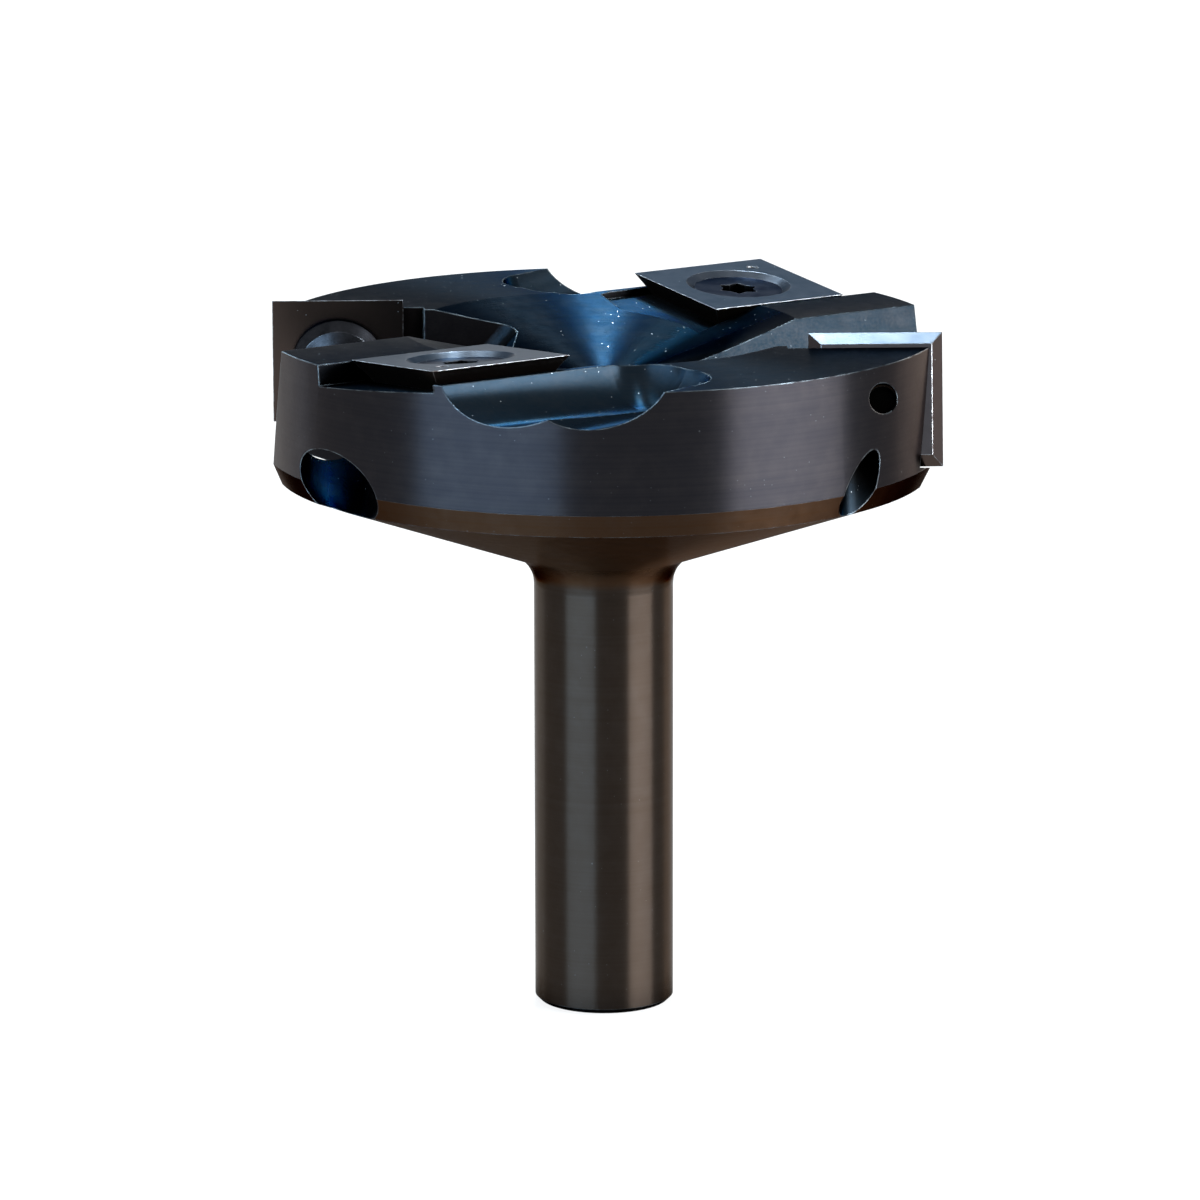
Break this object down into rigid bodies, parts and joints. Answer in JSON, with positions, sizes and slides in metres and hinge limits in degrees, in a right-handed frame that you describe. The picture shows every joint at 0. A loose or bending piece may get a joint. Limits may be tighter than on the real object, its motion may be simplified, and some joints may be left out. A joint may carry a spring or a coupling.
{
  "type": "fly cutter",
  "caption": "Surfacing cutter: upright wing knives and lying floor knives screwed to a black head in one piece with its straight shank.",
  "frame": {"origin": "centre of the shank's end face, which the part stands on", "axes": "+Z along the shank towards the knives; +X out along the first wing knife's edge, to the right in the picture; +Y away from the camera"},
  "size_m": [0.06, 0.0612, 0.0641],
  "materials": {
    "black_oxide": "black oxide",
    "carbide": "ground carbide",
    "screw_steel": "dark satin"
  },
  "bodies": {
    "root": {"cutter_body": "black_oxide", "wing_knife_1": "carbide", "wing_screw_1": "screw_steel", "floor_knife_1": "carbide", "floor_screw_1": "screw_steel", "wing_knife_2": "carbide", "wing_screw_2": "screw_steel", "floor_knife_2": "carbide", "floor_screw_2": "screw_steel"}
  },
  "joints": []
}
